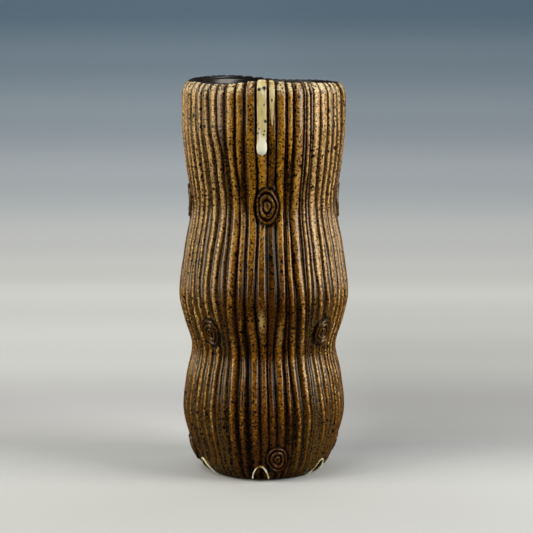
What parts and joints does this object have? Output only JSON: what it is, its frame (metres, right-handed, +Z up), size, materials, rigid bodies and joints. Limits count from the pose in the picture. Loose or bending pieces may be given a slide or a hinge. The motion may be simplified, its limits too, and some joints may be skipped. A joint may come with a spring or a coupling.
{
  "type": "flower vase",
  "caption": "Tall waisted flower vase in carved, glazed stoneware, with reed-like ribs, oval knots and an uneven curled lip.",
  "frame": {"origin": "centre of the foot on the surface that the vase stands on", "axes": "+Z up along the vase's axis; -Y is the front, with the pale glaze run; +X is right seen from the front"},
  "size_m": [0.0908, 0.0908, 0.212],
  "materials": {
    "rib_glaze": "satin amber-brown glaze, near black in the grooves, speckled with iron",
    "knot_glaze": "satin amber-brown glaze, dark in its grooves",
    "liner_glaze": "glossy black-brown glaze",
    "pale_glaze": "cream glaze with iron specks",
    "bare_clay": "bare fired stoneware, matt"
  },
  "bodies": {
    "root": {"carved_wall": "rib_glaze", "floor_slab": "bare_clay", "seam_coil": "bare_clay", "liner_glaze": "liner_glaze", "floor_glaze": "liner_glaze", "pale_run_long": "pale_glaze", "pale_run_short": "pale_glaze", "upper_knot_1": "knot_glaze", "upper_knot_2": "knot_glaze", "upper_knot_3": "knot_glaze", "upper_knot_4": "knot_glaze", "lower_knot_1": "knot_glaze", "lower_knot_2": "knot_glaze", "lower_knot_3": "knot_glaze", "lower_knot_4": "knot_glaze", "foot_knot_1": "knot_glaze", "foot_knot_2": "knot_glaze", "foot_knot_3": "knot_glaze", "foot_knot_4": "knot_glaze", "pocket_bead_1": "pale_glaze", "pocket_bead_2": "pale_glaze", "pocket_bead_3": "pale_glaze", "pocket_bead_4": "pale_glaze", "pocket_bead_5": "pale_glaze", "pocket_bead_6": "pale_glaze"}
  },
  "joints": []
}
